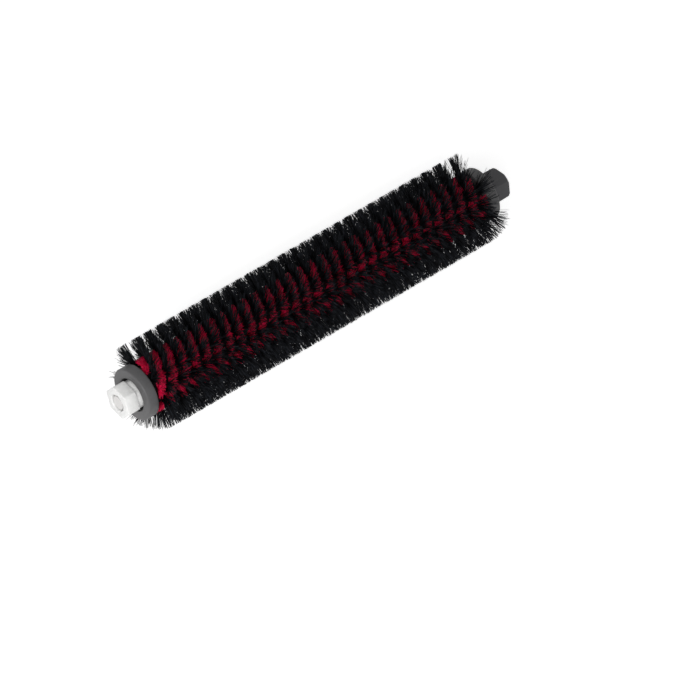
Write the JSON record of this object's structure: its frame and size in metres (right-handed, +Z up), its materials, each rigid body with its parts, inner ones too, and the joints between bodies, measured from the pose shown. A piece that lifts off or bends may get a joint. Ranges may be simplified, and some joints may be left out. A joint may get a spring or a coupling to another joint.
{
  "type": "robot vacuum mop cleaning brush",
  "caption": "Cylindrical tufted brush roller with short red and long black bristles in a spiral, a free-turning hexagonal bearing bush at one end and a square drive at the other.",
  "frame": {"origin": "on the surface the roller lies on, under the middle of its length and its axis", "axes": "+X along the roller's axis, from the bearing bush to the square drive; +Z up"},
  "size_m": [0.1836, 0.035, 0.0346],
  "materials": {
    "dark_plastic": "dark grey moulded plastic, satin",
    "grey_plastic": "mid-grey moulded plastic, satin",
    "steel": "turned steel",
    "white_plastic": "white acetal, slightly translucent",
    "black_bristle": "black nylon filament",
    "red_bristle": "red nylon filament"
  },
  "bodies": {
    "roller": {"core": "dark_plastic", "near_collar": "grey_plastic", "far_collar": "grey_plastic", "axle_pin": "steel", "black_tufts_1": "black_bristle", "black_tufts_2": "black_bristle", "black_tufts_3": "black_bristle", "black_tufts_4": "black_bristle", "black_tufts_5": "black_bristle", "red_tufts_1": "red_bristle", "red_tufts_2": "red_bristle", "red_tufts_3": "red_bristle", "red_tufts_4": "red_bristle", "red_tufts_5": "red_bristle"},
    "bush": {"bearing_bush": "white_plastic"}
  },
  "joints": [
    {"name": "bush_spin", "type": "hinge", "parent": "roller", "child": "bush", "pos_m": [-0.0891, 0, 0.0171], "axis": [1, 0, 0], "continuous": true}
  ]
}
